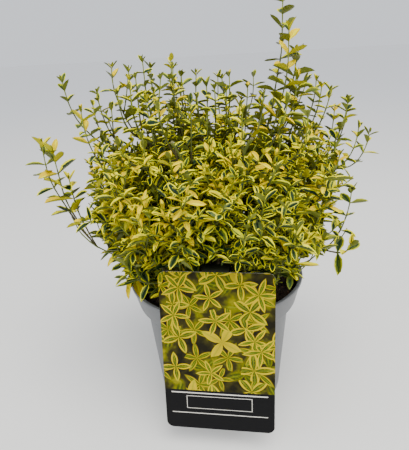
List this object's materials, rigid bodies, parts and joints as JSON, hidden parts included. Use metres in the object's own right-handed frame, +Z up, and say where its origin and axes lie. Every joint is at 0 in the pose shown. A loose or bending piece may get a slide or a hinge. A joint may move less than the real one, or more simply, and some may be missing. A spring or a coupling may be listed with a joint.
{
  "type": "potted variegated wintercreeper shrub",
  "caption": "Bushy variegated wintercreeper with upright leafy shoots in a round nursery pot with a stepped rim, with a picture label at the front.",
  "frame": {"origin": "middle of the pot's flat underside, on the surface that the pot stands on", "axes": "+Z up; -Y towards the side with the label card; +X to the right seen from that side"},
  "size_m": [0.2558, 0.1967, 0.3169],
  "materials": {
    "pot_plastic": "satin",
    "soil": "matte",
    "label_plastic": "satin",
    "bark": "matte",
    "green_stem": "matte",
    "leaf": "satin"
  },
  "bodies": {
    "root": {"pot": "pot_plastic", "root_ball": "soil", "label_card": "label_plastic", "stem_base": "bark", "bough_skirt_1": "green_stem", "bough_skirt_2": "green_stem", "bough_skirt_3": "green_stem", "bough_skirt_4": "green_stem", "bough_skirt_5": "green_stem", "bough_skirt_6": "green_stem", "bough_skirt_7": "green_stem", "bough_skirt_8": "green_stem", "bough_side_1": "green_stem", "bough_side_2": "green_stem", "bough_side_3": "green_stem", "bough_side_4": "green_stem", "bough_side_5": "green_stem", "bough_side_6": "green_stem", "bough_top_1": "green_stem", "bough_top_2": "green_stem", "bough_top_3": "green_stem", "bough_top_4": "green_stem", "bough_top_5": "green_stem", "bough_top_6": "green_stem", "bough_crest": "green_stem", "bough_outlier_left": "green_stem", "bough_outlier_right": "green_stem", "foliage_skirt_1": "leaf", "foliage_skirt_2": "leaf", "foliage_skirt_3": "leaf", "foliage_skirt_4": "leaf", "foliage_skirt_5": "leaf", "foliage_skirt_6": "leaf", "foliage_skirt_7": "leaf", "foliage_skirt_8": "leaf", "foliage_side_1": "leaf", "foliage_side_2": "leaf", "foliage_side_3": "leaf", "foliage_side_4": "leaf", "foliage_side_5": "leaf", "foliage_side_6": "leaf", "foliage_top_1": "leaf", "foliage_top_2": "leaf", "foliage_top_3": "leaf", "foliage_top_4": "leaf", "foliage_top_5": "leaf", "foliage_top_6": "leaf", "foliage_crest": "leaf", "foliage_outlier_left": "leaf", "foliage_outlier_right": "leaf"}
  },
  "joints": []
}
